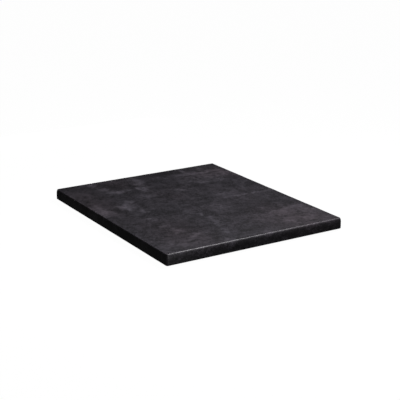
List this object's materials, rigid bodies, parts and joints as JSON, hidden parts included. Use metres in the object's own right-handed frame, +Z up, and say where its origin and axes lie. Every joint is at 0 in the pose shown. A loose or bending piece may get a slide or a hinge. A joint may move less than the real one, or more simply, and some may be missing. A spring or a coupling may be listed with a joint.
{
  "type": "granite tooling slab",
  "caption": "Thin rectangular slab of honed dark granite on low rubber feet, a flat heavy surface for stamping and tooling leather.",
  "frame": {"origin": "on the bench under the middle of the slab", "axes": "+Z up, out of the working face; +Y along the slab's longer side, from front to back; +X to the right"},
  "size_m": [0.36, 0.43, 0.0249],
  "materials": {
    "granite": "honed",
    "foot_rubber": "matte",
    "adhesive_foam": "matte"
  },
  "bodies": {
    "root": {"granite_slab": "granite", "foot_front_left": "foot_rubber", "foot_front_right": "foot_rubber", "foot_back_left": "foot_rubber", "foot_back_right": "foot_rubber", "adhesive_pad_front_left": "adhesive_foam", "adhesive_pad_front_right": "adhesive_foam", "adhesive_pad_back_left": "adhesive_foam", "adhesive_pad_back_right": "adhesive_foam"}
  },
  "joints": []
}
